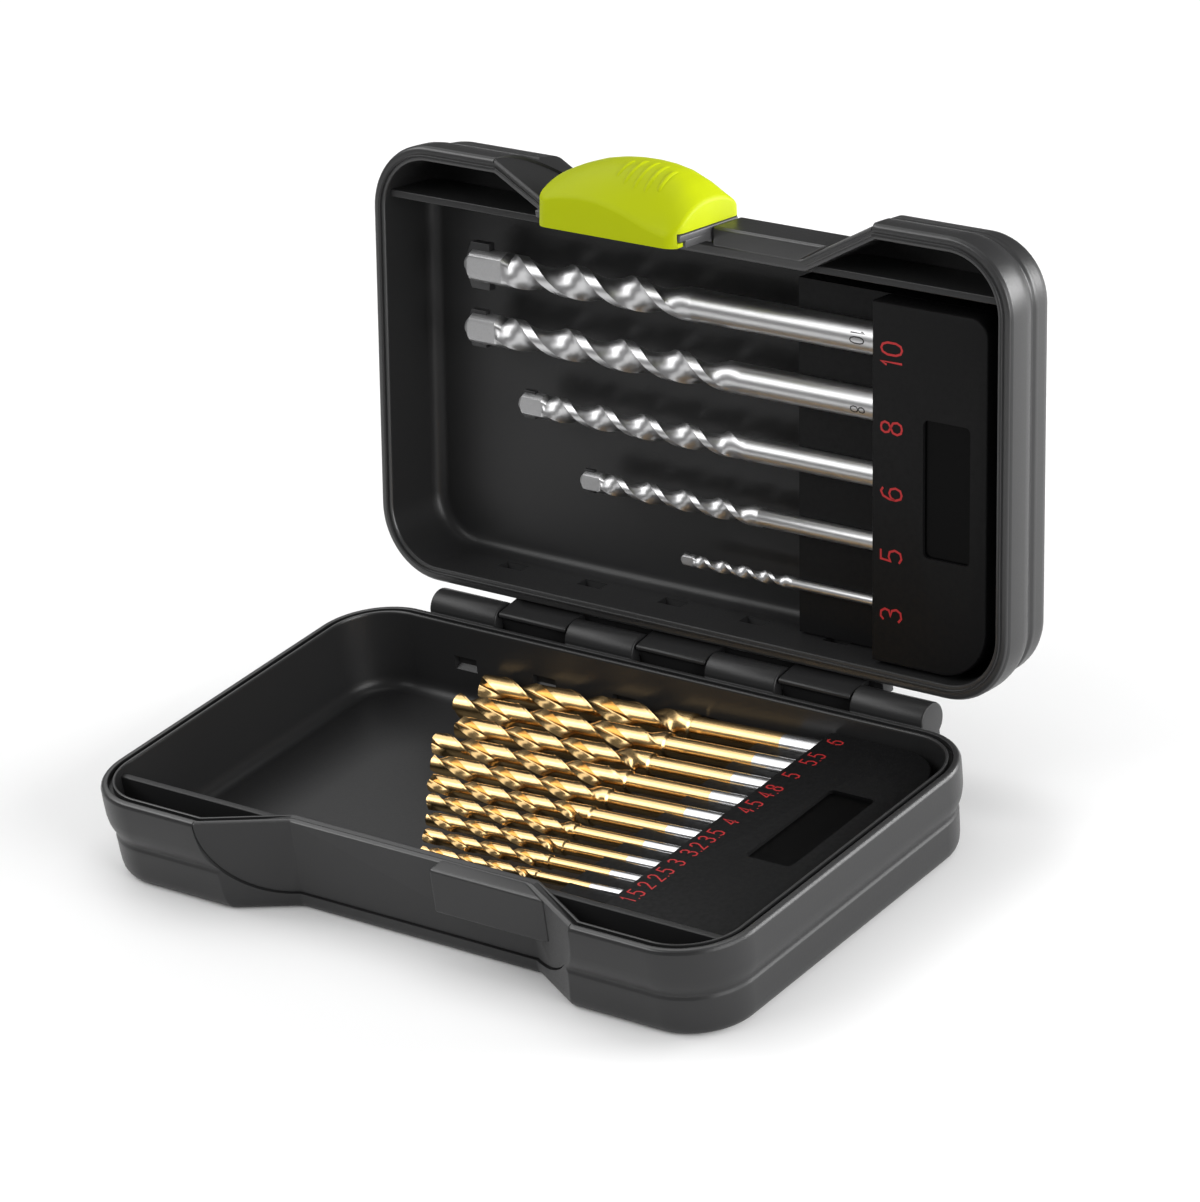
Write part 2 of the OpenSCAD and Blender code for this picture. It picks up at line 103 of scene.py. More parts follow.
def soften(bm, bevel, segments=3, angle=25):
    """Rounds the edges that turn by more than angle."""
    bmesh.ops.recalc_face_normals(bm, faces=bm.faces)
    sharp = [e for e in bm.edges if e.calc_face_angle(0) > math.radians(angle)]
    bmesh.ops.bevel(bm, geom=sharp, offset=bevel * MM, offset_type="OFFSET", affect="EDGES",
                    segments=segments, profile=0.5, material=-1)
    return bm


def prism(axis, pts, a, b, bevel=0.0, angle=25):
    """A bmesh solid, in mm: the plan pts, (y, z) for x, (x, z) for y or (x, y) for z, drawn from a to b."""
    place = {"x": lambda u, v, w: (w, u, v), "y": lambda u, v, w: (u, w, v), "z": lambda u, v, w: (u, v, w)}[axis]
    bm = bmesh.new()
    loft(bm, [[place(u, v, level) for u, v in pts] for level in (a, b)])
    if bevel:
        return soften(bm, bevel, angle=angle)
    bmesh.ops.recalc_face_normals(bm, faces=bm.faces)
    return bm


def join(bm, *others):
    """Puts the meshes of others into bm."""
    for other in others:
        mesh = bpy.data.meshes.new("part")
        other.to_mesh(mesh)
        other.free()
        bm.from_mesh(mesh)
        bpy.data.meshes.remove(mesh)
    return bm


def carve(bm, cutter, operation="DIFFERENCE"):
    """bm with the solid in cutter taken out of it, or with only what both fill."""
    objs = []
    for part in (bm, cutter):
        bmesh.ops.recalc_face_normals(part, faces=part.faces)
        mesh = bpy.data.meshes.new("part")
        part.to_mesh(mesh)
        part.free()
        obj = bpy.data.objects.new("part", mesh)
        bpy.context.collection.objects.link(obj)
        objs.append(obj)
    mod = objs[0].modifiers.new("carve", "BOOLEAN")
    mod.object, mod.operation, mod.solver = objs[1], operation, "EXACT"
    done = bmesh.new()
    done.from_object(objs[0], bpy.context.evaluated_depsgraph_get())
    for obj in objs:
        mesh = obj.data
        bpy.data.objects.remove(obj)
        bpy.data.meshes.remove(mesh)
    return done


def in_lid(p):
    """Where the open lid holds a point in mm that is drawn as if the case were shut."""
    dy, dz = p[1] - AXIS[0], p[2] - AXIS[1]
    c, s = math.cos(OPEN), math.sin(OPEN)
    return (p[0], AXIS[0] + dy * c + dz * s, AXIS[1] - dy * s + dz * c)


def piece(name, bm, material, body, sharp=32, lid=False, recalc=True):
    """Makes the object from bm, mm drawn at rest or, with lid, as if shut, and lets it ride on its body."""
    if lid:
        for v in bm.verts:
            v.co = Vector(in_lid(v.co / MM)) * MM
    if recalc:
        bmesh.ops.recalc_face_normals(bm, faces=bm.faces)
    mesh = bpy.data.meshes.new(name)
    bm.to_mesh(mesh)
    bm.free()
    mesh.polygons.foreach_set("use_smooth", [True] * len(mesh.polygons))
    mesh.set_sharp_from_angle(angle=math.radians(sharp))
    obj = bpy.data.objects.new(name, mesh)
    bpy.context.collection.objects.link(obj)
    for mat in material if isinstance(material, list) else [material]:
        mesh.materials.append(mat)
    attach(obj, body)
    return obj


def smooth_normals(obj):
    """Keeps the broad flat faces flat to the eye where a round runs into them."""
    mod = obj.modifiers.new("normals", "WEIGHTED_NORMAL")
    mod.keep_sharp = True
    mod.weight = 60


def shader(name, colour, specular=0.5, metallic=0.0, rough=0.5):
    """A material of one colour on the standard shader."""
    mat = bpy.data.materials.new(name)
    mat.use_nodes = True
    bsdf = mat.node_tree.nodes["Principled BSDF"]
    bsdf.inputs["Base Color"].default_value = (*colour, 1)
    bsdf.inputs["Specular IOR Level"].default_value = specular
    bsdf.inputs["Metallic"].default_value = metallic
    bsdf.inputs["Roughness"].default_value = rough
    return mat


def grain(mat, scale, depth, strength, rough, detail=4.0):
    """Fine grain: bump and a slight change of roughness, between two values, from noise on object coordinates."""
    tree = mat.node_tree
    bsdf = tree.nodes["Principled BSDF"]
    coord = tree.nodes.new("ShaderNodeTexCoord")
    noise = tree.nodes.new("ShaderNodeTexNoise")
    noise.inputs["Scale"].default_value = scale
    noise.inputs["Detail"].default_value = detail
    bump = tree.nodes.new("ShaderNodeBump")
    bump.inputs["Distance"].default_value = depth
    bump.inputs["Strength"].default_value = strength
    spread = tree.nodes.new("ShaderNodeMapRange")
    spread.inputs["From Min"].default_value, spread.inputs["From Max"].default_value = 0.3, 0.7
    spread.inputs["To Min"].default_value, spread.inputs["To Max"].default_value = rough
    link = tree.links.new
    link(coord.outputs["Object"], noise.inputs["Vector"])
    link(noise.outputs["Fac"], bump.inputs["Height"])
    link(noise.outputs["Fac"], spread.inputs["Value"])
    link(spread.outputs["Result"], bsdf.inputs["Roughness"])
    link(bump.outputs["Normal"], bsdf.inputs["Normal"])


charcoal = shader("charcoal_plastic", (0.02, 0.02, 0.0205), specular=0.34)
grain(charcoal, 2600.0, 0.00003, 0.35, rough=(0.33, 0.41))
# Rim material: a smoother, glossier plastic. Its base colour, a little lighter than the walls', is a painted
# highlight on the rim's upward faces.
rim_gloss_painted_light = shader("charcoal_rim_painted_highlight", (0.026, 0.026, 0.0265), specular=0.75)
grain(rim_gloss_painted_light, 2600.0, 0.00003, 0.15, rough=(0.3, 0.36))


def shell_profile(h):
    """(z from the rim, inset of the outer walls, inset of the waist) up the outside of a half h deep."""
    out = [(-h, 4.4, 1.9), (-h + 0.12, 3.6, 1.3), (-h + 0.45, 2.95, 0.75), (-h + 1.0, 2.4, 0.35),
           (-h + 1.8, 2.0, 0.1), (-h + 3.0, 1.75, 0), (-h + 5.0, 1.6, 0)]
    belt = -10.3 if h > 18 else -9.6
    out += [(belt - 2.2, 1.5, 0), (belt - 1.5, 1.42, 0), (belt - 1.1, 1.5, 0), (belt - 0.7, 1.7, 0),
            (belt - 0.3, 1.74, 0), (belt + 0.3, 1.45, 0), (belt + 1.2, 0.95, 0), (belt + 2.4, 0.5, 0),
            (belt + 4.0, 0.18, 0), (-3.0, 0.03, 0), (-1.0, 0.0, 0)]
    out += [(-0.9, 0.03, 0.12), (-0.6, 0.12, 0.28), (-0.32, 0.28, 0.52), (-0.12, 0.48, 0.82), (0, 0.8, 1.25)]
    return out


def rim_profile(groove):
    """The flat of the rim, with a groove in the base or a lip on the lid, and the round into the inner wall."""
    out = [(0, 1.35, 1.35)]
    if groove:
        out += [(-0.08, 1.5, 1.5), (-1.3, 1.55, 1.55), (-1.3, 2.45, 2.45), (-0.08, 2.5, 2.5), (0, 2.62, 2.62)]
    else:
        out += [(0, 1.74, 1.74), (0.4, 1.77, 1.77), (0.52, 1.88, 1.88), (0.52, 2.2, 2.2), (0.4, 2.31, 2.31),
                (0, 2.34, 2.34)]
    out += [(0, 2.75, 2.75), (-0.05, 2.98, 2.98), (-0.25, 3.14, 3.12), (-0.6, 3.2, 3.16)]
    return out


def inside_profile(depth):
    """The inner wall and its round into the floor, in the same terms."""
    h = depth - 2.5
    return [(-h * 0.5, 3.6, 3.2), (-h + 3.0, 3.95, 3.2), (-h + 1.9, 4.2, 3.3), (-h + 1.1, 4.6, 3.6),
            (-h + 0.5, 5.2, 4.1), (-h + 0.12, 6.0, 4.9), (-h, 7.0, 5.8)]


def waist_region(deep, level0, level1):
    """Solid in front of the recess's walls, moved in by deep."""
    c = CASE
    ax, ay = c["slant"], c["deep"]
    size = math.hypot(ax, ay)
    shift = deep * size / ay
    tip = deep * (size - ax) / ay
    pts = [(-c["left"] - shift - 2 * ax / ay, -c["hw"] - 2), (-c["left"] + ax - tip, -c["hw"] + ay + deep),
           (c["right"] - ax + tip, -c["hw"] + ay + deep), (c["right"] + shift + 2 * ax / ay, -c["hw"] - 2)]
    return prism("z", pts, level0, level1)


U_FLAT, U_ROUND, U_STOP = 30, 17.5, 3.65


def u_line(grow, depth, up, top):
    """Front view of the wide U that is sunk into the recess, its bottom U_STOP short of the shell's own."""
    pts = []
    for side in (-1, 1):
        for s in range(19):
            a = math.radians(90 * s / 18)
            a = a if side < 0 else math.pi / 2 - a
            pts.append((side * (U_FLAT + (U_ROUND + grow) * math.cos(a)),
                        top + up * (depth - U_STOP + grow) * -math.sin(a)))
    return pts


def half_shell(depth, rim, groove, up):
    """One half of the case with its rim at z = rim mm; up is 1 for the base, and -1 draws it above, as the lid."""
    bm = bmesh.new()
    rings = []
    rim_rows = rim_profile(groove)
    for z, inset, waist in shell_profile(depth) + rim_rows + inside_profile(depth):
        # The groove and the lip leave out the waist.
        in_groove = (z, inset, waist) in rim_rows[2:-4]
        rings.append([(x, y, rim + up * (0 if in_groove and y < 0 and -CASE["left"] < x < CASE["right"] else z))
                      for x, y in outline(inset, waist)])
    loft(bm, rings)

    # The sunk U, and the fine line cut round it.
    low, high = min(rim - up * depth, rim + up * 2), max(rim - up * depth, rim + up * 2)
    end, above, line = U_FLAT + U_ROUND, rim + up * 3, 0.1
    sunk = prism("y", [(-end, above)] + u_line(0, depth, up, rim) + [(end, above)], -60, -30)
    bm = carve(bm, carve(sunk, waist_region(0.5, low, high), "INTERSECT"))
    ring = ([(-end - line, above)] + u_line(line, depth, up, rim) + [(end + line, above), (end - line, above)]
            + u_line(-line, depth, up, rim)[::-1] + [(-end + line, above)])
    bm = carve(bm, carve(prism("y", ring, -60, -30), waist_region(1.25, low, high), "INTERSECT"))

    # Five blind slots in the back wall, each with a sloping end.
    slots = bmesh.new()
    z0, z1 = rim - up * 10.5, rim - up * 7.4
    lift, drop = (z0 + (z1 - z0) * share for share in ((0.45, 0.97) if up > 0 else (0.1, 0.5)))
    for k in range(5):
        x = -51.5 + 21.2 * k
        front = [(x - 3, z0), (x + 3, z0), (x + 3, z1), (x - 3, z1)]
        rear = [(x - 2.7, lift), (x + 2.7, lift), (x + 2.7, drop), (x - 2.7, drop)]
        loft(slots, [[(u, y, v) for u, v in plan] for y, plan in ((42.6, front), (44.0, front), (45.3, rear))])
    return carve(bm, slots)


def polish_rim(bm, rim, up):
    """Gives the second material to what faces up on the rim: a smoother, glossier finish, with a lighter colour that
    is painted highlight.
    """
    for f in bm.faces:
        if f.normal.z * up > 0.5 and abs(f.calc_center_median().z / MM - rim) < 0.4:
            f.material_index = 1
    return bm


def pad(rim, up):
    """Locking pad at the right of the recess, undercut for the latch, and the ribs behind the front corners."""
    profile = [(-41.3, 0.01), (-36.9, 0.01), (-36.9, 7.9), (-39.9, 7.9), (-39.9, 9.8), (-41.3, 9.8)]
    out = bmesh.new()
    loft(out, [[(x - slant * (y + 41.3), y, rim - up * z) for y, z in profile]
               for x, slant in ((8.5, 0), (37.2, 1.7))])
    soften(out, 0.7, segments=4)
    low, high = (2.4, 18.6) if up > 0 else (21.6, 35.2)
    for x0, x1 in ((-77.2, -27.0), (27.5, 77.2)):
        join(out, prism("z", [(x0, -36.6), (x1, -36.6), (x1, -35.0), (x0, -35.0)], low, high, bevel=0.3))
    return out


bm = polish_rim(join(half_shell(20.0, RIM_Z, True, 1), pad(RIM_Z, 1)), RIM_Z, 1)
base_shell = piece("base_tray", bm, [charcoal, rim_gloss_painted_light], "base", recalc=False)
smooth_normals(base_shell)
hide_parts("base_shell")

# Base hinge knuckles.
# Four knuckles stand on a strip along the back of the base, in the same moulding, and each one's foot
# reaches the ground. A steel pin runs through them.


def ring_points(cy, cz, r, a0, a1, step=7.5):
    """Points on an arc about (cy, cz) from a0 to a1 degrees."""
    n = max(2, round(abs(a1 - a0) / step))
    return [(cy + r * math.cos(math.radians(a0 + (a1 - a0) * s / n)),
             cz + r * math.sin(math.radians(a0 + (a1 - a0) * s / n))) for s in range(n + 1)]


def knuckle_span(k):
    """Where the k-th of the seven knuckles starts and ends in x."""
    x = (k - 3.5) * 18.2 + 0.2
    return x, x + 17.8


hinge = prism("x", [(45.0, 6.8), (46.3, 6.0), (54.0, 11.0), (54.0, 15.0), (45.0, 15.0)], -63.3, 63.3, bevel=0.4)
knuckle = ([(43.5, 0.0), (53.4, 0.0), (54.2, 0.8), (54.2, 15.9)] + ring_points(*AXIS, 3.8, -54.5, 180)
           + [(45.9, 19.0), (45.9, 14.2), (45.1, 14.2), (45.1, 3.0), (43.5, 1.2)])
for k in range(0, 7, 2):
    join(hinge, prism("x", knuckle, *knuckle_span(k), bevel=0.4, angle=40))
hinge = piece("base_knuckles", hinge, charcoal, "base", recalc=False)

# Lid shell, main part.
# The same moulding as the base but shallower, with a lip on its rim, swung open 100 degrees.
bm = polish_rim(join(half_shell(17.3, LID_RIM_Z, False, -1), pad(LID_RIM_Z, -1)), LID_RIM_Z, -1)
lid_tray = piece("lid_tray", bm, [charcoal, rim_gloss_painted_light], "lid", lid=True, recalc=False)
smooth_normals(lid_tray)
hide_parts("lid_shell")

# Lid hinge knuckles.
# Three arms from the lid's back wall end in knuckles on the pin; a heel on each stops the open lid.
arms = bmesh.new()
arm = ([(50.5, 17.6), (50.45, 20.3), (49.5, 20.9), (49.3, 21.2), (49.3, 21.6), (49.5, 21.95), (50.2, 22.1),
        (59.6, 22.9), (59.6, 20.2), (55.4, 19.2)] + ring_points(*AXIS, 3.4, 0, -110))
for k in range(1, 6, 2):
    join(arms, prism("x", arm, *knuckle_span(k), bevel=0.3, angle=35))
join(arms, prism("x", [(56.4, 18.8), (60, 18.8), (60, 22.9), (56.4, 22.9)], -45.1, 48.6, bevel=0.3))
arms = piece("lid_knuckles", arms, charcoal, "lid", recalc=False)

# Rail for the latch.
# A grey moulded plate, fixed to the lid's front edge, whose lips the latch slides along.
rail_grey = shader("rail_plastic", (0.075, 0.075, 0.077))
grain(rail_grey, 2400.0, 0.00003, 0.3, rough=(0.4, 0.5))
rail = prism("z", [(-28.6, -39.8), (-28.9, -41.3), (8.1, -41.3), (8.1, -39.8)], 10.2, 29.8, bevel=0.3)
for back, low, high in ((-37.9, 20.4, 27.9), (-38.4, 12.1, 20.9)):
    join(rail, prism("z", [(-28.6, -40.0), (8.1, -40.0), (8.1, back), (-28.6, back)], low, high, bevel=0.15))
rail = piece("latch_plate", rail, rail_grey, "lid", lid=True, recalc=False)
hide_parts("latch_rail")

# Latch.
# A domed lime green slider, moulded in one piece, hollow beneath, with grip ribs on its crown.
lime = shader("lime_plastic", (0.41, 0.475, 0.001), specular=0.12)
bsdf = lime.node_tree.nodes["Principled BSDF"]
bsdf.inputs["Subsurface Weight"].default_value = 0.08
bsdf.inputs["Subsurface Radius"].default_value = (0.002, 0.002, 0.0006)
bsdf.inputs["Subsurface Scale"].default_value = 1.0
grain(lime, 2200.0, 0.00002, 0.25, rough=(0.42, 0.5))
LX0, LX1, LZ0, LZ1 = -27.9, 8.1, 8.45, 31.55
SEAT_Y, CREST_Z, FILLET = -38.4, 20.6, 0.75


def dome(x, z):
    """Height of the latch's top over its seat at a point of its footprint."""
    crest = np.interp(x, [-27.9, -24, -20, -16, -12, -8, -4, 0, 4, 8.1],
                      [9.4, 11.2, 12.5, 13.3, 13.75, 13.9, 13.75, 13.1, 11.4, 8.2])
    near = np.interp(x, [-27.9, -22, -17, -12, -7, -3, 0, 3, 8.1], [5.6, 7.0, 7.5, 7.3, 6.3, 4.9, 3.8, 3.0, 2.6])
    t = (z - CREST_Z) / (CREST_Z - LZ0 if z < CREST_Z else LZ1 - CREST_Z)
    edge, power = (near, 2.2) if t < 0 else (near + 1.6, 2.7)
    return crest - (crest - edge) * min(abs(t), 1.0) ** power


def footprint(inset):
    """Rounded plan of the latch, moved in by inset, with points along its sides as well."""
    r = max(3.2 - inset, 0.4)
    x0, x1, z0, z1 = LX0 + inset + r, LX1 - inset - r, LZ0 + inset + r, LZ1 - inset - r
    corners = ((x1, z1, 0), (x0, z1, 90), (x0, z0, 180), (x1, z0, 270))
    arcs = [ring_points(x, z, r, a, a + 90, 11.25) for x, z, a in corners]
    out = []
    for arc, after in zip(arcs, arcs[1:] + arcs[:1]):
        (u, v), (u1, v1) = arc[-1], after[0]
        out += arc + [(u + (u1 - u) * s / 16, v + (v1 - v) * s / 16) for s in range(1, 16)]
    return out


rings = [[(x, y, z) for x, z in footprint(0)] for y in (SEAT_Y - 0.25, SEAT_Y - 1.0)]
for s in range(7):
    a = math.pi / 2 * s / 6
    rings.append([(x, SEAT_Y - dome(x, z) + FILLET * (1 - math.sin(a)), z)
                  for x, z in footprint(0.12 + FILLET * (1 - math.cos(a)))])
cx, cz = (LX0 + LX1) / 2, (LZ0 + LZ1) / 2
last = [(x, z) for x, y, z in rings[-1]]
for s in range(1, 15):
    k = 1 - s / 14.5
    plan = [(cx + (x - cx) * k, cz + (z - cz) * k) for x, z in last]
    rings.append([(x, SEAT_Y - dome(x, z), z) for x, z in plan])
bm = bmesh.new()
loft(bm, rings)
bm = carve(bm, prism("z", [(-40, -41.55), (20, -41.55), (20, -36), (-40, -36)], 9.95, 30.05))
for low, high in ((9.9, 11.8), (28.2, 30.1)):
    join(bm, prism("z", [(LX0 + 0.4, -39.55), (LX1 - 0.4, -39.55), (LX1 - 0.4, -38.65), (LX0 + 0.4, -38.65)],
                   low, high, bevel=0.15))
for k in range(5):
    x, width = -10.4 + 2.6 * k, 4.6 - 0.35 * (k - 2) ** 2
    rib = []
    for s in range(17):
        a = -1 + s / 8
        z = 16.8 + a * width
        swell = 0.2 + 0.3 * (1 - abs(a) ** 6)
        rib.append([(x + u, SEAT_Y - dome(x, z) + 0.2 - v * swell, z) for u, v in
                    ((-0.62, 0), (-0.45, 0.55), (-0.2, 0.92), (0.0, 1.0), (0.2, 0.92), (0.45, 0.55), (0.62, 0))])
    grip = bmesh.new()
    loft(grip, rib)
    join(bm, grip)
latch = piece("latch_slider", bm, lime, "latch", sharp=38, lid=True)
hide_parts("latch")

# Racks and their covers.
# Black moulded blocks with cradles for the shanks; a panel over each holds the shanks' ends, with a bare
# sunk rectangle and the sizes printed in thin red strokes.
black = shader("black_plastic", (0.0055, 0.0055, 0.0058), specular=0.16)
grain(black, 900.0, 0.00006, 0.4, rough=(0.42, 0.6), detail=6.0)
satin = shader("black_panel", (0.0012, 0.0012, 0.0013), specular=0.08, rough=0.3)
ink = shader("red_print", (0.42, 0.012, 0.014))

# Where the bits leave the covers, and how high their axes lie there.
BASE_X, BASE_AXIS_Z, TILT = 44.4, 13.2, math.radians(2.8)
LID_X, LID_AXIS_Z = 46.4, 28
# Twist bits: diameter, length, fluted length, y. Empty places: size, y.
HSS = [(6, 93, 57, 40.4), (5.5, 93, 57, 31.75), (5, 86, 52, 23.6), (4.8, 86, 52, 15.8), (4.5, 80, 47, 8.25),
       (4, 75, 43, 1.1), (3.5, 70, 39, -5.55), (3.2, 65, 36, -11.8), (3, 61, 33, -17.8), (2.5, 57, 30, -23.45)]
EMPTY = [(2, -28.6), (1.5, -33.25)]
# Masonry bits: size, length, shank and body diameter, end of the flutes, depth in the cover, y.
MASONRY = [(10, 120, 6.8, 7.0, 61.2, 12, -21.7), (8, 120, 6.4, 6.5, 73.2, 12, -8.0), (6, 100, 5.0, 5.1, 60, 6, 6.5),
           (5, 85, 3.8, 4.2, 46.75, 7, 20.6), (3, 60, 2.2, 2.5, 28.8, 8, 33.2)]


def rod(r, x0, x1, y, z, pivot, tilt=0.0):
    """Cylinder along X, tilted down about the point at x = pivot."""
    bm = bmesh.new()
    c, s = math.cos(tilt), math.sin(tilt)
    turns = [2 * math.pi * k / 32 for k in range(32)]
    loft(bm, [[(pivot + (x - pivot) * c - r * math.sin(a) * s, y + r * math.cos(a),
                z + (x - pivot) * s + r * math.sin(a) * c) for a in turns] for x in (x0, x1)])
    return bm


def cover_plan(x0, y0, inset):
    """Plan of a cover whose left near corner is at x0, y0, with its edges moved in by inset."""
    x0, x1, y0, y1 = x0 + inset, 73.9 - inset, y0 + inset, 43.4 - inset
    near, far = 4.0 - inset, 11.0 - inset
    return ([(x0, y1), (x0, y0)] + ring_points(x1 - near, y0 + near, near, -90, 0)
            + ring_points(x1 - far, y1 - far, far, 0, 90))


def cover(x0, y0, z0, z1, up, holes, window):
    """Panel over the shanks' ends between two levels, its face towards up, with rounded face edges."""
    rows = [(z0, 0.25), (z0 + 0.25 * up, 0), (z1 - 0.5 * up, 0), (z1 - 0.25 * up, 0.07), (z1 - 0.08 * up, 0.22),
            (z1, 0.5)]
    bm = bmesh.new()
    loft(bm, [[(x, y, z) for x, y in cover_plan(x0, y0, inset)] for z, inset in rows])
    bm = carve(bm, holes)
    x0, y0, x1, y1 = window
    r = 1.2
    plan = (ring_points(x0 + r, y0 + r, r, 180, 270, 15) + ring_points(x1 - r, y0 + r, r, 270, 360, 15)
            + ring_points(x1 - r, y1 - r, r, 0, 90, 15) + ring_points(x0 + r, y1 - r, r, 90, 180, 15))
    floor_z, above = z1 - 0.75 * up, z1 + 0.5 * up
    bm = carve(bm, prism("z", plan, min(floor_z, above), max(floor_z, above)))
    for f in bm.faces:
        p = f.calc_center_median() / MM
        if abs(p.z - floor_z) < 0.01 and x0 < p.x < x1 and y0 < p.y < y1:
            f.material_index = 1
    return bm


def paint(node, material):
    """Gives a CAD piece its finish."""
    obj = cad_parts[node]
    obj.data.materials.clear()
    obj.data.materials.append(material)


STROKES = {
    "0": [[(.5, 1), (.2, .93), (.03, .7), (.03, .3), (.2, .07), (.5, 0), (.8, .07), (.97, .3), (.97, .7), (.8, .93),
           (.5, 1)]],
    "1": [[(.2, .74), (.58, 1), (.58, 0)]],
    "2": [[(.03, .74), (.14, .92), (.45, 1), (.78, .94), (.93, .76), (.85, .56), (.03, 0), (1, 0)]],
    "3": [[(.05, .86), (.3, 1), (.7, .98), (.93, .8), (.84, .6), (.42, .53), (.86, .46), (1, .24), (.8, .04),
           (.35, 0), (.02, .15)]],
    "4": [[(.7, 0), (.7, 1), (0, .3), (1, .3)]],
    "5": [[(.92, 1), (.16, 1), (.08, .54), (.42, .62), (.8, .57), (.99, .32), (.82, .06), (.4, 0), (.02, .12)]],
    "6": [[(.9, .9), (.6, 1), (.25, .9), (.04, .6), (.02, .28), (.2, .05), (.5, 0), (.84, .07), (.98, .3), (.84, .53),
           (.5, .6), (.16, .52), (.03, .34)]],
    "8": [[(.5, .54), (.16, .65), (.08, .82), (.24, .97), (.5, 1), (.76, .97), (.92, .82), (.84, .65), (.5, .54),
           (.12, .43), (.02, .22), (.2, .04), (.5, 0), (.8, .04), (.98, .22), (.88, .43), (.5, .54)]],
    ".": [[(.3, 0), (.7, 0)]],
}


def label(bm, text, place, height, width, thick):
    """Draws plain digits as flat strokes; place turns (along the text, up the digit) into a point in mm."""
    widths = [0.42 if ch == "." else (0.62 if ch == "1" else 1.0) for ch in text]
    gap = 0.3 * width
    total = sum(widths) * width + gap * (len(text) - 1)
    at = -total / 2
    for ch, share in zip(text, widths):
        for line in STROKES[ch]:
            pts = [np.array([at + u * share * width, (v - 0.5) * height]) for u, v in line]
            closed = np.allclose(pts[0], pts[-1])
            left, right = [], []
            for k, p in enumerate(pts):
                before = pts[k - 1] if k else (pts[-2] if closed else None)
                after = pts[k + 1] if k + 1 < len(pts) else (pts[1] if closed else None)
                dirs = [d / np.linalg.norm(d) for d in
                        ([p - before] if before is not None else []) + ([after - p] if after is not None else [])]
                m = sum(dirs)
                m = m / np.linalg.norm(m)
                side = np.array([-m[1], m[0]])
                reach = thick / 2 / max(abs(float(m @ dirs[0])), 0.55)
                left.append(p + side * reach)
                right.append(p - side * reach)
            rows = [(bm.verts.new(Vector(place(*a)) * MM), bm.verts.new(Vector(place(*b)) * MM))
                    for a, b in zip(left, right)]
            for (a, b), (c, d) in zip(rows, rows[1:]):
                bm.faces.new((a, b, d, c))
        at += share * width + gap


holes = bmesh.new()
for d, y in [(d, y) for d, length, flute, y in HSS] + EMPTY:
    join(holes, rod(0.4 * d + 0.18, 28, BASE_X + 3.6, y, BASE_AXIS_Z, BASE_X, TILT))
base_cover = piece("base_cover", cover(BASE_X, -34.7, 13.2, 16.5, 1, holes, (58.3, -5.5, 69.1, 23.5)),
                   [black, satin], "base")
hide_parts("base_rack_cover")
bm = bmesh.new()
for text, y in zip(("6", "5.5", "5", "4.8", "4.5", "4", "3.5", "3.2", "3", "2.5", "2", "1.5"),
                   (40, 32.3, 24.9, 17.7, 10.9, 4.3, -1.9, -7.8, -13.4, -18.5, -23.2, -27.6)):
    label(bm, text, lambda u, v: (47.7 - v, y + u, 16.52), 3.7, 1.5, 0.34)
prints = piece("base_sizes", bm, ink, "base", recalc=False)
paint("base_rack", black)

holes = bmesh.new()
for d, length, shank, body, flute, seat, y in MASONRY:
    join(holes, rod(shank / 2 + 0.2, 20, LID_X + seat + 0.3, y, LID_AXIS_Z, LID_X))
lid_cover = piece("lid_cover", cover(LID_X, -31.4, 28.4, 22.0, -1, holes, (58.8, -9, 70, 19.5)),
                  [black, satin], "lid", lid=True)
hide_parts("lid_rack_cover")
bm = bmesh.new()
for text, y in (("10", -21.0), ("8", -6.0), ("6", 7.6), ("5", 20.6), ("3", 33.0)):
    label(bm, text, lambda u, v: (51.2 - v, y - u, 21.98), 5.0, 2.6, 0.45)
prints = piece("lid_sizes", bm, ink, "lid", lid=True, recalc=False)
paint("lid_rack", black)

# Steel twist bits, ten sizes.
# High-speed steel, ground flutes and a 118 degree point, coated gold but for the last 10 mm of each shank.
gold = shader("gold_coating", (0.74, 0.50, 0.225), metallic=1.0)
grain(gold, 260.0, 0.00001, 0.0, rough=(0.2, 0.27))
steel = shader("bright_steel", (0.62, 0.62, 0.63), metallic=1.0)
grain(steel, 260.0, 0.00001, 0.0, rough=(0.17, 0.24))
POINT = math.radians(59)


def drill_section(land, core, margin, clear, round_off):
    """(angle, share of the radius) round a two-flute drill: margin, cleared land, flute down to the core."""
    out = []
    for half in (0, 180):
        out += [(-land + half, 1), (-land + margin + half, 1), (-land + margin + 1.5 + half, clear)]
        out += [(-land + margin + (2 * land - margin) * s / 6 + half, clear) for s in range(1, 7)]
        for s in range(1, 18):
            t = s / 18
            out.append((land + (180 - 2 * land) * t + half,
                        clear - (clear - core) * math.sin(math.pi * t) ** round_off))
    return out


def twist_body(bm, section, r, x0, x1, pitch, fade, cone=None, step=6.0):
    """Twisted flutes from x0 that run out into the full round at x1; cone gives a point of that half angle.

    Without cone the first end stays open, and the far end always does.
    """
    n = max(8, int((x1 - x0) / (pitch * step / 360)))
    rings = []
    for s in range(n + 1):
        x = x0 + (x1 - x0) * s / n
        out = []
        for a, share in section:
            blend = min(max((x - (x1 - fade)) / fade, 0), 1)
            blend = blend * blend * (3 - 2 * blend)
            radius = r * (share + (1 - share) * blend)
            at = x
            if cone and s == 0:
                at = radius / math.tan(cone)
            elif cone:
                at = max(x, radius / math.tan(cone) + (x - x0)) if x < x0 + 1.5 * r else x
            turn = math.radians(a) + 2 * math.pi * at / pitch
            out.append((at, radius * math.cos(turn), radius * math.sin(turn)))
        rings.append(out)
    rows = loft(bm, rings, cap_first=False, cap_last=False)
    if cone:
        tip = bm.verts.new((0, 0, 0))
        first = rows[0]
        for k in range(len(first)):
            bm.faces.new((first[(k + 1) % len(first)], first[k], tip))
    return rows


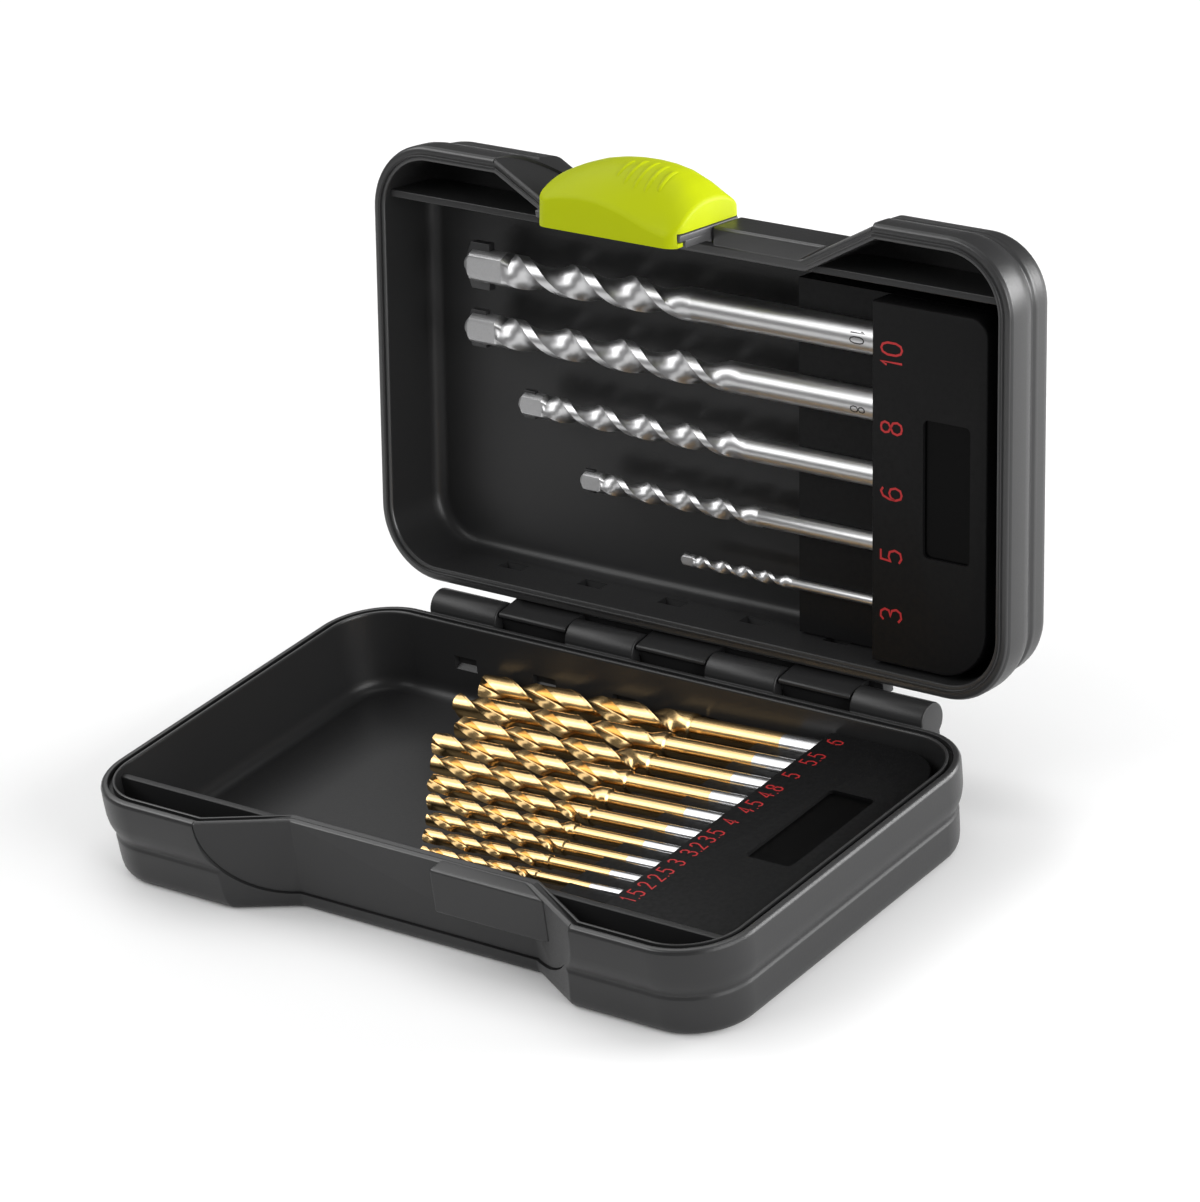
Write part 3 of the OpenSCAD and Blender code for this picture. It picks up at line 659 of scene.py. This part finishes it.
def shank_rings(bm, last, r, x0, x1, chamfer, levels=()):
    """Round shank of radius r that goes on from the verts in last by a short shoulder, with a chamfered end."""
    rows = [last]
    angles = [math.atan2(v.co.z, v.co.y) for v in last]
    for x in (x0 + 0.35, *levels, x1 - chamfer, x1):
        radius = r - (chamfer if x == x1 else 0)
        rows.append([bm.verts.new(Vector((x, radius * math.cos(a), radius * math.sin(a))) * MM) for a in angles])
    for a, b in zip(rows, rows[1:]):
        bridge(bm, a, b)
    bm.faces.new(rows[-1])


section = drill_section(48, 0.38, 7, 0.955, 0.85)
for k, (d, length, flute, y) in enumerate(HSS):
    bm = bmesh.new()
    tip_x = 3.2 - length
    rows = twist_body(bm, section, d / 2, d / 2 / math.tan(POINT), flute, 5.8 * d, 1.9 * d, cone=POINT)
    bare = 34.3 - BASE_X - tip_x + (0.4, -0.3, 0.2, 0.5, -0.2)[k % 5]
    shank_rings(bm, rows[-1], 0.4 * d, flute, length, 0.3, levels=(bare - 0.01, bare + 0.01))
    for f in bm.faces:
        f.material_index = 1 if f.calc_center_median().x / MM > bare else 0
    place = (Matrix.Translation(Vector((BASE_X, y, BASE_AXIS_Z)) * MM) @ Matrix.Rotation(-TILT, 4, "Y")
             @ Matrix.Translation(Vector((tip_x, 0, 0)) * MM)
             @ Matrix.Rotation(math.radians(35 + 67 * k), 4, "X"))
    bmesh.ops.transform(bm, matrix=place, verts=bm.verts)
    name = f"{d:.1f}".replace(".", "_")
    bit = piece("twist_bit_" + name, bm, [gold, steel], "bit_" + name, sharp=30)
    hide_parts("hss_bit_" + name)

# Masonry bits, five sizes, and their carbide plates.
# Milled steel with a sand-blasted head; a carbide plate is brazed into a slot across each tip. The two
# largest have their size engraved on the shank.
milled = shader("milled_steel", (0.62, 0.62, 0.625), metallic=1.0)
grain(milled, 3000.0, 0.00002, 0.2, rough=(0.33, 0.4))
frosted = shader("frosted_steel", (0.48, 0.48, 0.485), metallic=1.0)
grain(frosted, 2600.0, 0.00006, 0.9, rough=(0.42, 0.6))
carbide = shader("carbide", (0.03, 0.03, 0.031), metallic=0.3, rough=0.4)
engraved = shader("engraved_line", (0.03, 0.03, 0.03), rough=0.6)
section = drill_section(19, 0.58, 0.5, 1.0, 0.72)
for d, length, shank, body, flute, seat, y in MASONRY:
    bm = bmesh.new()
    head, flat, pitch = 1.25 * d, 0.36 * body, 4.4 * body
    turn = 2 * math.pi * head / pitch
    rings = []
    for x, cut in ((0.04, 0.2), (0.08, 0.17), (0.2, 0.05), (0.25, 0), (1.09, 0), (1.11, 0)):
        r = body / 2 - cut * d
        rings.append([(x * d, r * math.cos(math.radians(a) + turn),
                       max(-flat, min(flat, r * math.sin(math.radians(a) + turn)))) for a, share in section])
    head_rows = loft(bm, rings, cap_last=False)
    body_rows = twist_body(bm, section, body / 2, head, flute, pitch, 1.6 * body, step=7.0)
    bridge(bm, head_rows[-1], body_rows[0])
    shank_rings(bm, body_rows[-1], shank / 2, flute, length, 0.4)
    for f in bm.faces:
        f.material_index = 1 if f.calc_center_median().x / MM < head - 0.1 * d else 0
    place = Matrix.Translation(Vector((LID_X + seat - length, y, LID_AXIS_Z)) * MM)
    bmesh.ops.transform(bm, matrix=place, verts=bm.verts)
    bit = piece(f"masonry_bit_of_{d}", bm, [milled, frosted], f"masonry_{d}", sharp=34, lid=True)
    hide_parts(f"masonry_bit_{d}")
    plate = prism("z", [(0, 0), (0.2 * d, d / 2), (0.68 * d, d / 2), (0.68 * d, -d / 2), (0.2 * d, -d / 2)],
                  -0.1 * d, 0.1 * d, bevel=0.012 * d)
    bmesh.ops.transform(plate, matrix=place, verts=plate.verts)
    plate = piece(f"carbide_plate_{d}", plate, carbide, f"masonry_{d}", lid=True)
    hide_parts(f"carbide_tip_{d}")
    if d >= 8:
        r, at = shank / 2 + 0.015, (-0.2 if d == 10 else 0.2)
        bm = bmesh.new()
        label(bm, str(d), lambda u, v: (40.9 + v, y + r * math.sin(u / r + at),
                                        LID_AXIS_Z - r * math.cos(u / r + at)),
              3.4, 1.4, 0.28)
        mark = piece(f"engraved_size_{d}", bm, engraved, f"masonry_{d}", lid=True, recalc=False)
paint("hinge_pin", steel)

# Floor, light and camera.
# The object stands on a plain pale floor in soft studio light, seen from the photo's camera.
floor_mesh = bpy.data.meshes.new("floor")
edge = [math.radians(360 * k / 96) for k in range(96)]
floor_mesh.from_pydata([(0.85 * math.cos(a), 0.85 * math.sin(a), 0) for a in edge], [], [tuple(range(96))])
floor = bpy.data.objects.new("floor", floor_mesh)
bpy.context.collection.objects.link(floor)
floor_mesh.materials.append(shader("floor_white", (0.93, 0.93, 0.93), specular=0.2, rough=0.8))

world = bpy.data.worlds.new("studio")
bpy.context.scene.world = world
bpy.context.scene.view_settings.view_transform = "Standard"
world.use_nodes = True
tree = world.node_tree
seen = tree.nodes["Background"]
around, mirrored = tree.nodes.new("ShaderNodeBackground"), tree.nodes.new("ShaderNodeBackground")
for node, strength in ((seen, 1.0), (around, 0.35), (mirrored, 0.12)):
    node.inputs["Color"].default_value = (1, 1, 1, 1)
    node.inputs["Strength"].default_value = strength
path = tree.nodes.new("ShaderNodeLightPath")
light, mix = tree.nodes.new("ShaderNodeMixShader"), tree.nodes.new("ShaderNodeMixShader")
link = tree.links.new
link(path.outputs["Is Glossy Ray"], light.inputs["Fac"])
link(around.outputs["Background"], light.inputs[1])
link(mirrored.outputs["Background"], light.inputs[2])
link(path.outputs["Is Camera Ray"], mix.inputs["Fac"])
link(light.outputs["Shader"], mix.inputs[1])
link(seen.outputs["Background"], mix.inputs[2])
link(mix.outputs["Shader"], tree.nodes["World Output"].inputs["Surface"])


def lamp(name, place, target, size, power):
    """Soft rectangular lamp that faces its target."""
    data = bpy.data.lights.new(name, "AREA")
    data.shape = "RECTANGLE"
    data.size, data.size_y = size
    data.energy = power
    obj = bpy.data.objects.new(name, data)
    bpy.context.collection.objects.link(obj)
    obj.location = place
    obj.rotation_mode = "QUATERNION"
    obj.rotation_quaternion = (Vector(target) - Vector(place)).to_track_quat("-Z", "Y")
    return obj


lamp("key", (1.2, -0.15, 0.4), (0, 0.02, 0.04), (0.9, 0.7), 12.0)
lamp("rim", (0.8, 0.85, 0.2), (0.05, 0.0, 0.05), (0.9, 0.4), 17.0)
lamp("fill", (-0.7, -0.55, 0.8), (0, 0.02, 0.05), (1.15, 0.5), 5.5)
lamp("left", (-0.85, 0.25, 0.95), (0, 0.0, 0.05), (1.3, 0.8), 5.0)
lamp("top", (0.0, 0.3, 1.0), (0, 0.05, 0.05), (0.8, 0.6), 2.0)

camera = bpy.data.cameras.new("camera")
camera.sensor_fit = "HORIZONTAL"
camera.sensor_width = 36
camera.lens = 163.09
camera.clip_start, camera.clip_end = 0.05, 20
eye = bpy.data.objects.new("camera", camera)
bpy.context.collection.objects.link(eye)
az, el, roll = math.radians(40.72), math.radians(25.98), math.radians(-7.70)
back = Vector((math.sin(az) * math.cos(el), -math.cos(az) * math.cos(el), math.sin(el)))
side = (-back).cross(Vector((0, 0, 1))).normalized()
up = side.cross(-back)
right = math.cos(roll) * side + math.sin(roll) * up
top = -math.sin(roll) * side + math.cos(roll) * up
pose = Matrix((right, top, back)).transposed().to_4x4()
pose.translation = Vector((-0.11095, 0.1588, -0.0397)) + back * 1.28474
eye.matrix_world = pose
bpy.context.scene.camera = eye
